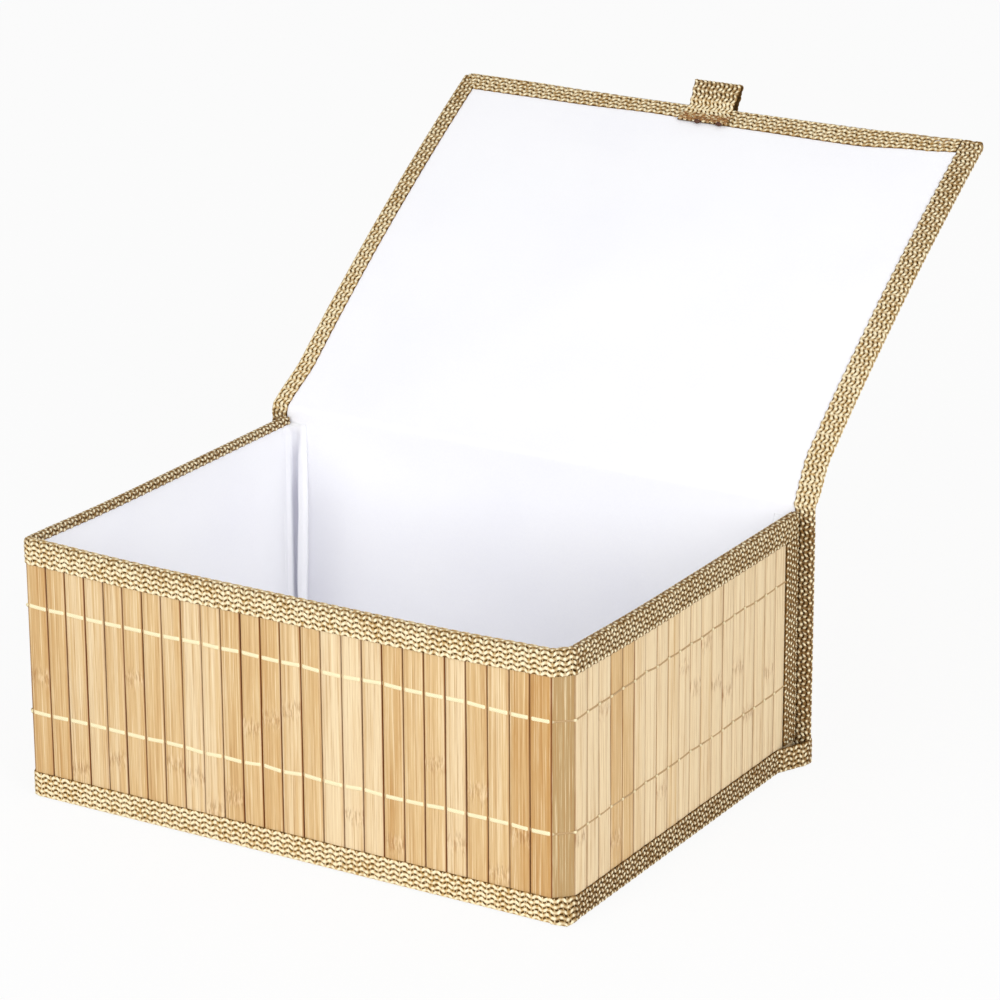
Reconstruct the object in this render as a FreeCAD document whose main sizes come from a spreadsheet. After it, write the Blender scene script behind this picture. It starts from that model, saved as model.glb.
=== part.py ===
import FreeCAD, Part
import os
import re
import Sketcher

doc = FreeCAD.newDocument("bamboo_storage_box")

# Driving sizes, in millimetres and degrees. Outside sizes are taken over the binding tape.
sizes = {
    # walls and base
    "box_width": 300,
    "box_depth": 223.2,  # front face to the inner face of the back panel
    "box_height": 130.2,
    "right_corner_leg": 8.2,  # each leg of the slat that turns the right front corner
    "left_corner_leg": 1.4,  # the left corner turns between two slats, so it is sharp
    # layers of every panel
    "tape_thickness": 0.8,
    "slat_thickness": 1.3,
    "board_thickness": 0.9,
    "lining_thickness": 0.4,
    # slat mats
    "slat_gap": 0.4,
    "slat_edge": 0.35,  # bevel along the two face edges of a slat
    "corner_gap": 0.6,
    "front_slat_count": 26,
    "side_slat_count": 20,
    "back_slat_count": 12,
    "lid_slat_count": 21,
    # thread rows
    "thread_width": 1.6,
    "thread_thickness": 0.35,
    "upper_thread_height": 97.9,
    "lower_thread_height": 43.6,
    "panel_thread_margin": 29.2,  # outermost thread row to the end of the slats
    "panel_thread_steps": 2,  # thread rows on each side of the middle row
    # binding tape
    "tape_width": 25,
    "wall_tape_leg": 12.6,
    "rim_inner_leg": 4,
    "rear_inner_leg": 2,
    "base_under_leg": 11,
    "back_inner_leg": 9.4,
    "lid_front_leg": 11.4,
    "lid_left_leg": 10,
    "lid_right_leg": 11.4,
    # base panel
    "base_board_thickness": 1.5,
    "fit_gap": 0.3,
    "flare_run": 18,  # length over which the base tape spreads to the back panel's edge
    "flare_land": 2,
    # lining pleats in the rear corners
    "pleat_width": 13,
    "pleat_depth": 5,
    "pleat_top_width": 11.5,
    "pleat_top_depth": 1.8,
    # back panel, hinge and lid
    "back_overhang": 7,
    "lid_overhang": 4,
    "hinge_rise": 4.6,
    "hinge_bead": 0.9,
    "butt_gap": 0.3,
    "lid_lean": 54.2,  # how far the open lid leans behind the upright
    "lid_front_overhang": 10.4,
    "lid_sag": 5,
    "seat_gap": 0.05,
    # pull tab
    "tab_width": 28,
    "tab_leg": 11.4,
    "tab_reach": 13.8,
    "tab_curl": 25.5,  # how far the tab turns up from the lid's inner face
    "tab_slack": 1.2,  # opening of the loop at its fold
    "tab_offset": -1.8,
}

# Values worked out from the driving sizes
formulas = {
    "half_width": "box_width / 2",
    "half_depth": "box_depth / 2",
    "core": "slat_thickness + board_thickness + lining_thickness",
    "panel": "core + 2 * tape_thickness",
    "slat_back": "tape_thickness + slat_thickness",
    "board_back": "slat_back + board_thickness",
    "lining_face": "board_back + lining_thickness",
    "wall_span": "box_height - 2 * tape_thickness",
    "left_start": "tape_thickness + left_corner_leg",
    "right_start": "tape_thickness + right_corner_leg - (2 - sqrt(2)) * tape_thickness",
    "front_span": "box_width - left_start - right_start",
    "front_pitch": "front_span / front_slat_count",
    "left_pitch": "(box_depth - tape_thickness - left_start) / side_slat_count",
    "right_pitch": "(box_depth - tape_thickness - right_start) / side_slat_count",
    "back_flange": "half_width + back_overhang",
    "back_reach": "back_flange - tape_thickness",
    "lid_flange": "half_width + lid_overhang",
    "lid_reach": "lid_flange - tape_thickness",
    "panel_thread_pitch": "(lid_reach - panel_thread_margin) / panel_thread_steps",
    "back_outside": "half_depth + panel",
    "hinge_height": "box_height + hinge_rise",
    "hinge_lean": "lid_lean - half_turn",
    "hinge_setback": "panel * tan(hinge_lean / 2) + butt_gap / (2 * cos(hinge_lean / 2))",
    "back_top": "hinge_height - hinge_setback",
    "back_span": "back_top - tape_thickness",
    "back_pitch": "back_span / back_slat_count",
    "back_outer_leg": "tape_width - panel - back_inner_leg",
    "base_board_top": "tape_thickness + base_board_thickness",
    "base_top": "base_board_top + lining_thickness",
    "base_inset": "lining_face + fit_gap",
    "lid_length": "box_depth + lid_front_overhang",
    "bow_radius": "(lid_length * lid_length / 4 + lid_sag * lid_sag) / (2 * lid_sag)",
    "degrees_along": "180 / (pi * bow_radius)",
    "half_turn": "asin(lid_length / (2 * bow_radius)) / 1 deg",
    "lid_arc": "2 * half_turn / degrees_along",
    "bow_depth": "half_depth + lid_length / 2 * sin(lid_lean) + (bow_radius - lid_sag) * cos(lid_lean)",
    "bow_height": "hinge_height + lid_length / 2 * cos(lid_lean) - (bow_radius - lid_sag) * sin(lid_lean)",
    "lid_front_outer_leg": "tape_width - panel - lid_front_leg",
    "lid_slat_pitch": "(lid_arc - tape_thickness - hinge_setback) / lid_slat_count",
    "inner_seat": "bow_radius + seat_gap",
    "outer_seat": "bow_radius - panel - 2 * seat_gap",
}

sheet = doc.addObject("Spreadsheet::Sheet", "dims")
for row, (name, size) in enumerate(sizes.items(), start=1):
    sheet.set(f"A{row}", name)
    sheet.set(f"B{row}", str(size))
    sheet.setAlias(f"B{row}", name)
doc.recompute()

subparts = []


def sized(text):
    # write a formula in sheet names, opening up the worked-out values on the way
    def open_up(match):
        word = match.group(0)
        if word in formulas:
            return f"({sized(formulas[word])})"
        return f"dims.{word}" if word in sizes else word

    return re.sub(r"[a-z_]+", open_up, str(text))


def value(text):
    result = sheet.evalExpression(sized(text))
    return float(getattr(result, "Value", result))


def bind(item, **properties):
    for name, text in properties.items():
        item.setExpression(name.replace("__", "."), sized(text))


def place(item, across, deep, up):
    bind(item, Placement__Base__x=across, Placement__Base__y=deep, Placement__Base__z=up)


def new_body(name):
    body = doc.addObject("PartDesign::Body", name)
    body.Label = name
    subparts.append(body)
    return body


def origin_part(body, role):
    return next(item for item in body.Origin.OriginFeatures if item.Role == role)


def new_sketch(body, plane, level="0"):
    sketch = body.newObject("Sketcher::SketchObject", f"{body.Name}_sketch")
    sketch.AttachmentSupport = [(origin_part(body, plane), "")]
    sketch.MapMode = "FlatFace"
    bind(sketch, AttachmentOffset__Base__z=level)
    return sketch


def add_outline(sketch, corners):
    # a closed outline of straight sides, each corner held by two formulas
    points = [FreeCAD.Vector(value(across), value(up), 0) for across, up in corners]
    first = sketch.GeometryCount
    for point, following in zip(points, points[1:] + points[:1]):
        sketch.addGeometry(Part.LineSegment(point, following))
    for step, (corner, point) in enumerate(zip(corners, points)):
        side = first + step
        following = first + (step + 1) % len(corners)
        sketch.addConstraint(Sketcher.Constraint("Coincident", side, 2, following, 1))
        for kind, formula, start in zip(("DistanceX", "DistanceY"), corner, point):
            held = sketch.addConstraint(Sketcher.Constraint(kind, -1, 1, side, 1, start))
            sketch.setExpression(f"Constraints[{held}]", sized(formula))


def add_pad(body, plane, corners, level, length):
    sketch = new_sketch(body, plane, level)
    add_outline(sketch, corners)
    pad = body.newObject("PartDesign::Pad", f"{body.Name}_pad")
    pad.Profile = sketch
    bind(pad, Length=length)
    return pad


def upright(name, *layers):
    # a piece built of upright layers: plan outline, foot level and height of each
    body = new_body(name)
    for corners, foot, height in layers:
        add_pad(body, "XY_Plane", corners, foot, height)
    return body


def repeat_along(body, pad, axis, extent, count):
    pattern = body.newObject("PartDesign::LinearPattern", f"{body.Name}_row")
    pattern.Originals = [pad]
    pattern.Direction = (origin_part(body, axis), [""])
    bind(pattern, Length=extent, Occurrences=count)
    body.Tip = pattern


# Plan of the walls: points at a given inset from the outside, on the left (-1) or right (1)


def corner_leg(inset, side):
    # layers keep their thickness round the right corner, while the sharp left corner is mitred
    return f"(right_corner_leg - (2 - sqrt(2)) * ({inset}))" if side > 0 else "left_corner_leg"


def corner_front(inset, side):
    return f"{side} * (half_width - ({inset}) - {corner_leg(inset, side)})", f"-half_depth + ({inset})"


def corner_middle(inset, side):
    half_leg = f"{corner_leg(inset, side)} / 2"
    return f"{side} * (half_width - ({inset}) - {half_leg})", f"-half_depth + ({inset}) + {half_leg}"


def corner_side(inset, side):
    return f"{side} * (half_width - ({inset}))", f"-half_depth + ({inset}) + {corner_leg(inset, side)}"


def wall_point(inset, side, depth):
    return f"{side} * (half_width - ({inset}))", depth


def band(path, outer, inner):
    # the strip between a path at one inset and the same path at another
    return path(outer) + path(inner)[::-1]


def front_path(inset):
    return [
        corner_middle(inset, -1),
        corner_front(inset, -1),
        corner_front(inset, 1),
        corner_middle(inset, 1),
    ]


def side_path(inset, side):
    return [corner_middle(inset, side), corner_side(inset, side), wall_point(inset, side, "half_depth")]


def wall_path(inset, end):
    return [
        wall_point(inset, -1, end),
        corner_side(inset, -1),
        corner_front(inset, -1),
        corner_front(inset, 1),
        corner_side(inset, 1),
        wall_point(inset, 1, end),
    ]


def slat_section(start, end, depth_at):
    # square at the back, with the two face edges taken off
    return [
        (start, depth_at("slat_thickness")),
        (end, depth_at("slat_thickness")),
        (end, depth_at("slat_edge")),
        (f"({end}) - slat_edge", depth_at("0")),
        (f"({start}) + slat_edge", depth_at("0")),
        (start, depth_at("slat_edge")),
    ]


def oblong(left, right, inner, outer):
    return [(left, inner), (right, inner), (right, outer), (left, outer)]


def turned(corners):
    return [(up, across) for across, up in corners]


def channel(edge, inner_leg, outer_leg, inner_face, outer_face, inner_skin, outer_skin, web):
    # tape folded round a panel's edge, as (along the panel, through the panel)
    return [
        (f"{edge} - {inner_leg}", inner_face),
        (edge, inner_face),
        (edge, outer_face),
        (f"{edge} - {outer_leg}", outer_face),
        (f"{edge} - {outer_leg}", outer_skin),
        (f"{edge} - {web}", outer_skin),
        (f"{edge} - {web}", inner_skin),
        (f"{edge} - {inner_leg}", inner_skin),
    ]


def mirrored(corners, side):
    return [(f"{side} * ({across})", up) for across, up in corners]


# Slat mats of the walls


def front_slats():
    body = new_body("front_slats")
    section = slat_section(
        "-half_width + left_start + slat_gap / 2",
        "-half_width + left_start + front_pitch - slat_gap / 2",
        lambda depth: f"-half_depth + tape_thickness + {depth}",
    )
    pad = add_pad(body, "XY_Plane", section, "tape_thickness", "wall_span")
    repeat_along(body, pad, "X_Axis", "front_span - front_pitch", "front_slat_count")


def side_slats(word, side):
    body = new_body(f"{word}_slats")
    section = slat_section(
        f"-half_depth + {word}_start + slat_gap / 2",
        f"-half_depth + {word}_start + {word}_pitch - slat_gap / 2",
        lambda depth: f"{side} * (half_width - tape_thickness - {depth})",
    )
    pad = add_pad(body, "XY_Plane", turned(section), "tape_thickness", "wall_span")
    repeat_along(body, pad, "Y_Axis", f"{word}_pitch * (side_slat_count - 1)", "side_slat_count")


def right_corner_slat():
    # bevelled on both edges so that it sits between its two neighbours
    def shifted(point, along):
        across, up = point
        return f"{across} + {along} * corner_gap / sqrt(2)", f"{up} + {along} * corner_gap / sqrt(2)"

    corners = [
        shifted(corner_front("tape_thickness", 1), 1),
        shifted(corner_side("tape_thickness", 1), -1),
        shifted(corner_side("slat_back", 1), -1),
        shifted(corner_front("slat_back", 1), 1),
    ]
    upright("right_corner_slat", (corners, "tape_thickness", "wall_span"))


def wall_thread(name, height):
    strip = band(
        lambda inset: wall_path(inset, "half_depth - wall_tape_leg"),
        "tape_thickness - thread_thickness",
        "tape_thickness",
    )
    upright(name, (strip, f"{height} - thread_width / 2", "thread_width"))


# Boards and lining of the walls


def front_board():
    left, right = (corner_front("slat_back", side)[0] for side in (-1, 1))
    corners = oblong(left, right, "-half_depth + slat_back", "-half_depth + board_back")
    upright("front_board", (corners, "tape_thickness", "wall_span"))


def side_board(name, side):
    start = corner_side("slat_back", side)[1]
    end = "half_depth - tape_thickness"
    corners = [
        wall_point("slat_back", side, start),
        wall_point("slat_back", side, end),
        wall_point("board_back", side, end),
        wall_point("board_back", side, start),
    ]
    upright(name, (corners, "tape_thickness", "wall_span"))


def wall_lining():
    cloth = band(
        lambda inset: wall_path(inset, "half_depth - tape_thickness"),
        "board_back",
        "lining_face",
    )
    upright("wall_lining", (cloth, "tape_thickness", "wall_span"))


# Binding tape of the walls


def rim_binding(name, path):
    upright(
        name,
        (band(path, "0", "tape_thickness"), "box_height - wall_tape_leg", "wall_tape_leg"),
        (band(path, "0", "panel"), "box_height - tape_thickness", "tape_thickness"),
        (band(path, "lining_face", "panel"), "box_height - rim_inner_leg", "rim_inner_leg"),
    )


def rear_binding(name, side):
    fold = channel(
        "half_depth",
        "rear_inner_leg",
        "wall_tape_leg",
        "half_width - panel",
        "half_width",
        "half_width - lining_face",
        "half_width - tape_thickness",
        "tape_thickness",
    )
    corners = mirrored(turned(fold), side)
    upright(name, (corners, "wall_tape_leg", "box_height - 2 * wall_tape_leg"))


# Base panel and its binding tape


def base_layer(name, level, thickness):
    outline = wall_path("base_inset", "half_depth - fit_gap")
    upright(name, (outline, level, thickness))


def flare_start(inset, side):
    return wall_point(inset, side, "half_depth - flare_run")


def flare_end(inset, side):
    return f"{side} * (back_flange + tape_thickness - ({inset}))", "half_depth - flare_land"


def rear_corner(inset, side):
    reach = f"{side} * (back_flange + tape_thickness - ({inset}))"
    return reach, f"back_outside + tape_thickness - ({inset})"


def under_edge(inset, side):
    # inner edge of the tape under a side wall, from the rear corner to the front one
    front_corner = wall_point(inset, side, f"-half_depth + {inset}")
    return [rear_corner(inset, side), flare_start(inset, side), front_corner]


def base_cover():
    # cloth on the underside, level with the tape around it
    right = under_edge("base_under_leg + fit_gap", 1)
    left = under_edge("base_under_leg + fit_gap", -1)
    upright("base_cover", (right + left[::-1], "0", "tape_thickness"))


def base_binding_front():
    under = front_path("0") + [under_edge("base_under_leg", side)[-1] for side in (1, -1)]
    upright(
        "base_binding_front",
        (under, "0", "tape_thickness"),
        (band(front_path, "0", "tape_thickness"), "0", "wall_tape_leg"),
    )


def base_binding_side(name, side):
    def path(inset):
        return [
            corner_middle(inset, side),
            corner_side(inset, side),
            flare_start(inset, side),
            flare_end(inset, side),
            rear_corner(inset, side),
        ]

    upright(
        name,
        (path("0") + under_edge("base_under_leg", side), "0", "tape_thickness"),
        (band(path, "0", "tape_thickness"), "0", "wall_tape_leg"),
    )


def base_binding_back():
    def path(inset):
        return [rear_corner(inset, -1), rear_corner(inset, 1)]

    upright(
        "base_binding_back",
        (band(path, "0", "base_under_leg"), "0", "tape_thickness"),
        (band(path, "0", "tape_thickness"), "0", "wall_tape_leg"),
    )


# Back panel


def back_slats():
    body = new_body("back_slats")
    section = slat_section(
        "tape_thickness + slat_gap / 2",
        "tape_thickness + back_pitch - slat_gap / 2",
        lambda depth: f"back_outside - tape_thickness - {depth}",
    )
    pad = add_pad(body, "YZ_Plane", turned(section), "-back_reach", "2 * back_reach")
    repeat_along(body, pad, "Z_Axis", "back_pitch * (back_slat_count - 1)", "back_slat_count")


def back_sheet(name, front, rear):
    corners = oblong("-back_reach", "back_reach", front, rear)
    upright(name, (corners, "tape_thickness", "back_span"))


def thread_rows():
    # left and right edge of each thread row across the back panel and the lid
    steps = int(value("panel_thread_steps"))
    for step in range(-steps, steps + 1):
        middle = f"{step} * panel_thread_pitch"
        yield f"{middle} - thread_width / 2", f"{middle} + thread_width / 2"


def back_threads():
    face = "back_outside - tape_thickness"
    strips = [oblong(left, right, face, f"{face} + thread_thickness") for left, right in thread_rows()]
    upright("back_threads", *[(strip, "wall_tape_leg", "back_top - wall_tape_leg") for strip in strips])


def back_binding(name, side):
    fold = channel(
        "back_flange",
        "back_inner_leg",
        "back_outer_leg",
        "half_depth",
        "back_outside",
        "half_depth + tape_thickness",
        "back_outside - tape_thickness",
        "tape_thickness",
    )
    upright(name, (mirrored(fold, side), "tape_thickness", "back_span"))


def lining_pleat(name, side):
    # spare lining gathered in the rear corner, wide at the foot and drawn in at the rim
    body = new_body(name)
    corner = "half_width - panel"

    def triangle(width, depth):
        along_back = (f"{corner} - {width}", "half_depth")
        along_side = (corner, f"half_depth - {depth}")
        return mirrored([(corner, "half_depth"), along_back, along_side], side)

    foot = new_sketch(body, "XY_Plane", "base_top")
    add_outline(foot, triangle("pleat_width", "pleat_depth"))
    top = new_sketch(body, "XY_Plane", "box_height - rim_inner_leg")
    add_outline(top, triangle("pleat_top_width", "pleat_top_depth"))
    loft = body.newObject("PartDesign::AdditiveLoft", f"{name}_loft")
    loft.Profile = foot
    loft.Sections = [top]
    loft.Ruled = True


def hinge_cloth():
    # a rolled fold on the hinge line, with the cloth that ties it to the back panel's top edge
    roll = doc.addObject("Part::Cylinder", "hinge_roll")
    roll.Placement.Rotation = FreeCAD.Rotation(FreeCAD.Vector(0, 1, 0), 90)
    bind(roll, Radius="hinge_bead", Height="2 * lid_flange")
    place(roll, "-lid_flange", "half_depth", "hinge_height")
    tail = doc.addObject("Part::Box", "hinge_tail")
    bind(tail, Length="2 * lid_flange", Width="tape_thickness + lining_thickness", Height="hinge_setback")
    place(tail, "-lid_flange", "half_depth", "back_top")
    cloth = doc.addObject("Part::MultiFuse", "hinge_cloth")
    cloth.Label = "hinge_cloth"
    cloth.Shapes = [roll, tail]
    subparts.append(cloth)


# Lid: bowed, so its pieces turn about the bow's centre line, which runs along X


def hang(item, turn):
    # turn is the angle from the middle of the lid towards its front edge
    item.Placement.Rotation = FreeCAD.Rotation(FreeCAD.Vector(1, 0, 0), value(f"90 - lid_lean - ({turn})"))
    place(item, "0", "bow_depth", "bow_height")
    bind(item, Placement__Rotation__Angle=f"90 - lid_lean - ({turn})")


def add_bow(body, sections, length):
    # sections as (across the lid, depth below its inner face), swept towards the hinge
    sketch = new_sketch(body, "XZ_Plane")
    for corners in sections:
        add_outline(sketch, [(across, f"bow_radius - ({depth})") for across, depth in corners])
    sweep = body.newObject("PartDesign::Revolution", f"{body.Name}_bow")
    sweep.Profile = sketch
    sweep.ReferenceAxis = (origin_part(body, "X_Axis"), [""])
    bind(sweep, Angle=f"({length}) * degrees_along")


def bowed(name, sections, front_gap):
    body = new_body(name)
    add_bow(body, sections, f"lid_arc - hinge_setback - {front_gap}")
    hang(body, f"half_turn - {front_gap} * degrees_along")


def lid_sheet(name, inner, outer):
    bowed(name, [oblong("-lid_reach", "lid_reach", inner, outer)], "tape_thickness")


def lid_slats():
    body = new_body("lid_slats")
    width = "lid_slat_pitch / 2 - slat_gap / 2"
    section = slat_section(
        f"-({width})",
        width,
        lambda depth: f"bow_radius - lining_face - seat_gap + {depth}",
    )
    pad = add_pad(body, "YZ_Plane", section, "-lid_reach", "2 * lid_reach")
    pattern = body.newObject("PartDesign::PolarPattern", "lid_slats_row")
    pattern.Originals = [pad]
    pattern.Axis = (origin_part(body, "X_Axis"), [""])
    bind(pattern, Angle="lid_slat_pitch * (lid_slat_count - 1) * degrees_along", Occurrences="lid_slat_count")
    body.Tip = pattern
    hang(body, "half_turn - (tape_thickness + lid_slat_pitch / 2) * degrees_along")


def lid_threads():
    inner, outer = "lining_face + seat_gap", "lining_face + seat_gap + thread_thickness"
    sections = [oblong(left, right, inner, outer) for left, right in thread_rows()]
    bowed("lid_threads", sections, "lid_front_outer_leg")


def lid_side_binding(name, side, inner_leg):
    fold = channel(
        "lid_flange",
        inner_leg,
        f"(tape_width - panel - {inner_leg})",
        "0",
        "panel + seat_gap",
        "tape_thickness",
        "lining_face + seat_gap",
        "tape_thickness",
    )
    bowed(name, [mirrored(fold, side)], "0")


def lid_front_binding():
    body = new_body("lid_front_binding")
    left = "max(lid_left_leg; tape_width - panel - lid_left_leg) - lid_flange"
    right = "lid_flange - max(lid_right_leg; tape_width - panel - lid_right_leg)"
    outside = "panel + seat_gap"
    add_bow(body, [oblong(left, right, "0", "tape_thickness")], "lid_front_leg")
    add_bow(body, [oblong(left, right, "0", outside)], "tape_thickness")
    add_bow(body, [oblong(left, right, "lining_face + seat_gap", outside)], "lid_front_outer_leg")
    hang(body, "half_turn")


def pull_tab():
    # a loop of tape sewn to both faces of the lid over its front binding, curled up from the inner face
    def curled(along, above):
        ahead = f"({along}) * cos(tab_curl) - ({above}) * sin(tab_curl)"
        return ahead, f"inner_seat + ({along}) * sin(tab_curl) + ({above}) * cos(tab_curl)"

    corners = [
        ("-tab_leg", "inner_seat + tape_thickness"),
        ("-tape_thickness * tan(tab_curl / 2)", "inner_seat + tape_thickness"),
        curled("tab_reach", "tape_thickness"),
        curled("tab_reach", "-tape_thickness - tab_slack"),
        ("0", "outer_seat - tape_thickness"),
        ("-tab_leg", "outer_seat - tape_thickness"),
        ("-tab_leg", "outer_seat"),
        ("0", "outer_seat"),
        curled("tab_reach - tape_thickness", "-tab_slack"),
        curled("tab_reach - tape_thickness", "0"),
        ("0", "inner_seat"),
        ("-tab_leg", "inner_seat"),
    ]
    body = new_body("pull_tab")
    add_pad(body, "YZ_Plane", corners, "tab_offset - tab_width / 2", "tab_width")
    hang(body, "half_turn")


sides = {"left": -1, "right": 1}

front_slats()
right_corner_slat()
front_board()
wall_lining()
wall_thread("upper_wall_thread", "upper_thread_height")
wall_thread("lower_wall_thread", "lower_thread_height")
rim_binding("rim_binding_front", front_path)
base_cover()
base_layer("base_board", "tape_thickness", "base_board_thickness")
base_layer("base_lining", "base_board_top", "lining_thickness")
base_binding_front()
base_binding_back()
back_slats()
back_sheet("back_board", "half_depth + tape_thickness + lining_thickness", "back_outside - slat_back")
back_sheet("back_lining", "half_depth + tape_thickness", "half_depth + tape_thickness + lining_thickness")
back_threads()
hinge_cloth()
for word, side in sides.items():
    side_slats(word, side)
    side_board(f"{word}_board", side)
    rim_binding(f"rim_binding_{word}", lambda inset, side=side: side_path(inset, side))
    rear_binding(f"{word}_rear_binding", side)
    base_binding_side(f"base_binding_{word}", side)
    back_binding(f"{word}_back_binding", side)
    lining_pleat(f"{word}_lining_pleat", side)
    lid_side_binding(f"lid_{word}_binding", side, f"lid_{word}_leg")
lid_slats()
lid_threads()
lid_sheet("lid_board", "tape_thickness + lining_thickness", "lining_face - slat_thickness")
lid_sheet("lid_lining", "tape_thickness", "tape_thickness + lining_thickness")
lid_front_binding()
pull_tab()
doc.recompute()

for item in doc.Objects:
    faults = [state for state in item.State if state in ("Invalid", "Error")]
    if faults:
        raise RuntimeError(f"{item.Label} failed: {faults}")
for item in subparts:
    if item.Shape.isNull() or not item.Shape.isValid():
        raise RuntimeError(f"{item.Label} has no valid shape")

os.makedirs("parts", exist_ok=True)
for item in subparts:
    item.Shape.exportStep(f"parts/{item.Label}.step")
    print(item.Label, len(item.Shape.Solids), round(item.Shape.Volume, 1))
print(len(subparts), "sub-parts")
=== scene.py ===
import bmesh
import bpy
import math
import numpy as np
from mathutils import Matrix, Vector


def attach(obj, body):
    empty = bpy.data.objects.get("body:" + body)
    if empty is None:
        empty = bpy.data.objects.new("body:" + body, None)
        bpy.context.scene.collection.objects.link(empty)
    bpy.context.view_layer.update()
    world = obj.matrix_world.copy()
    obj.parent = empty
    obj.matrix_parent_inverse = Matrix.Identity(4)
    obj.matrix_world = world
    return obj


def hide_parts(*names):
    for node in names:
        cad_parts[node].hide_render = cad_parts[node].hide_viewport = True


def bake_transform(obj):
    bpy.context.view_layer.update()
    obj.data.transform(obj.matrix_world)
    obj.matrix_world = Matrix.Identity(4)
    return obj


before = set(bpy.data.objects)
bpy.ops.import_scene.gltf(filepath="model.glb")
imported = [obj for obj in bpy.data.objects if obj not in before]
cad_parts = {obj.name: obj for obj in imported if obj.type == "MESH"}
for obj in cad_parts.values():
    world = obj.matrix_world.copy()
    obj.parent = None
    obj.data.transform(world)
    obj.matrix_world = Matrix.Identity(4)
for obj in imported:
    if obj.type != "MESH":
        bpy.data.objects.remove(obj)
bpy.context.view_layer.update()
scene = bpy.context.scene
chance = np.random.default_rng(29)

# the box in millimetres, as in the part's source
box = {
    "halfWidth": 150.0,
    "halfDepth": 111.6,
    "height": 130.2,
    "rightLeg": 8.2,  # legs of the slat that turns the right front corner
    "leftLeg": 1.4,
    "panel": 4.2,
    "tape": 0.8,
    "backFlange": 157.0,
    "lidFlange": 154.0,
    "hingeHeight": 134.8,
    "backTop": 132.7,
    "lean": 54.2,
    "lidLength": 233.6,
    "lidSag": 5.0,
}
halfWidth, halfDepth, panel = box["halfWidth"], box["halfDepth"], box["panel"]
backFlange, lidFlange = box["backFlange"], box["lidFlange"]
lean = math.radians(box["lean"])
bowRadius = (box["lidLength"] ** 2 / 4 + box["lidSag"] ** 2) / (2 * box["lidSag"])
halfTurn = math.asin(box["lidLength"] / (2 * bowRadius))
lidArc = 2 * halfTurn * bowRadius
halfChord, centreGap = box["lidLength"] / 2, bowRadius - box["lidSag"]
bowDepth = halfDepth + halfChord * math.sin(lean) + centreGap * math.cos(lean)
bowHeight = box["hingeHeight"] + halfChord * math.cos(lean) - centreGap * math.sin(lean)


# Materials


class Wire:
    # one socket of a material; arithmetic on it adds Math nodes
    def __init__(self, tree, socket=None):
        self.tree = tree
        self.socket = socket

    def node(self, kind, settings, sockets, output=0):
        made = self.tree.nodes.new("ShaderNode" + kind)
        for name, setting in settings.items():
            setattr(made, name, setting)
        for name, value in sockets.items():
            if isinstance(value, Wire):
                self.tree.links.new(value.socket, made.inputs[name])
            else:
                made.inputs[name].default_value = value
        return Wire(self.tree, made.outputs[output])

    def math(self, operation, *terms):
        return self.node("Math", {"operation": operation}, dict(enumerate(terms)))

    def __add__(self, other):
        return self.math("ADD", self, other)

    def __radd__(self, other):
        return self.math("ADD", other, self)

    def __sub__(self, other):
        return self.math("SUBTRACT", self, other)

    def __rsub__(self, other):
        return self.math("SUBTRACT", other, self)

    def __mul__(self, other):
        return self.math("MULTIPLY", self, other)

    def __rmul__(self, other):
        return self.math("MULTIPLY", other, self)

    def __abs__(self):
        return self.math("ABSOLUTE", self)

    def mark(self, name):
        return self.node("Attribute", {"attribute_name": name}, {}, "Fac")

    def step(self, value, low, high):
        # eases from 0 at low to 1 at high
        sockets = {"Value": value, "From Min": low, "From Max": high}
        return self.node("MapRange", {"interpolation_type": "SMOOTHSTEP"}, sockets)

    def blend(self, first, second, share):
        return self.node("Mix", {"data_type": "RGBA"}, {0: share, 6: first, 7: second}, 2)

    def join(self, across, along, through):
        return self.node("CombineXYZ", {}, {"X": across, "Y": along, "Z": through})

    def noise(self, place, scale, detail=3.0, rough=0.55):
        sockets = {"Vector": place, "Scale": scale, "Detail": detail, "Roughness": rough}
        return self.node("TexNoise", {}, sockets, "Fac")

    def bump(self, height, strength, distance):
        sockets = {"Height": height, "Strength": strength, "Distance": distance}
        return self.node("Bump", {}, sockets, "Normal")

    def objectPlace(self):
        return self.node("TexCoord", {}, {}, "Object")


def paint(red, green, blue):
    # a colour as a paint program shows it
    shares = [part / 255 for part in (red, green, blue)]
    return (*[share / 12.92 if share < 0.04 else ((share + 0.055) / 1.055) ** 2.4 for share in shares], 1.0)


def newMaterial(name, finish):
    made = bpy.data.materials.new(name)
    made.use_nodes = True
    shader = made.node_tree.nodes["Principled BSDF"]
    for socket, value in finish(Wire(made.node_tree)).items():
        if isinstance(value, Wire):
            made.node_tree.links.new(value.socket, shader.inputs[socket])
        else:
            shader.inputs[socket].default_value = value
    return made


def surface(colour, rough, relief, strength, distance=0.0003, specular=0.5):
    # the shader inputs that every material sets
    return {
        "Base Color": colour,
        "Roughness": rough,
        "Normal": colour.bump(relief, strength, distance),
        "Specular IOR Level": specular,
    }


bambooLook = {
    "pale": paint(233, 210, 170),
    "honey": paint(216, 182, 130),
    "orange": paint(194, 147, 86),
    "aged": paint(168, 138, 92),
    "streak": paint(172, 122, 66),
    "gleam": paint(246, 228, 190),
    "node": paint(156, 108, 64),
    "fleck": paint(242, 216, 176),
    "edge": paint(130, 72, 24),
}


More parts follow.
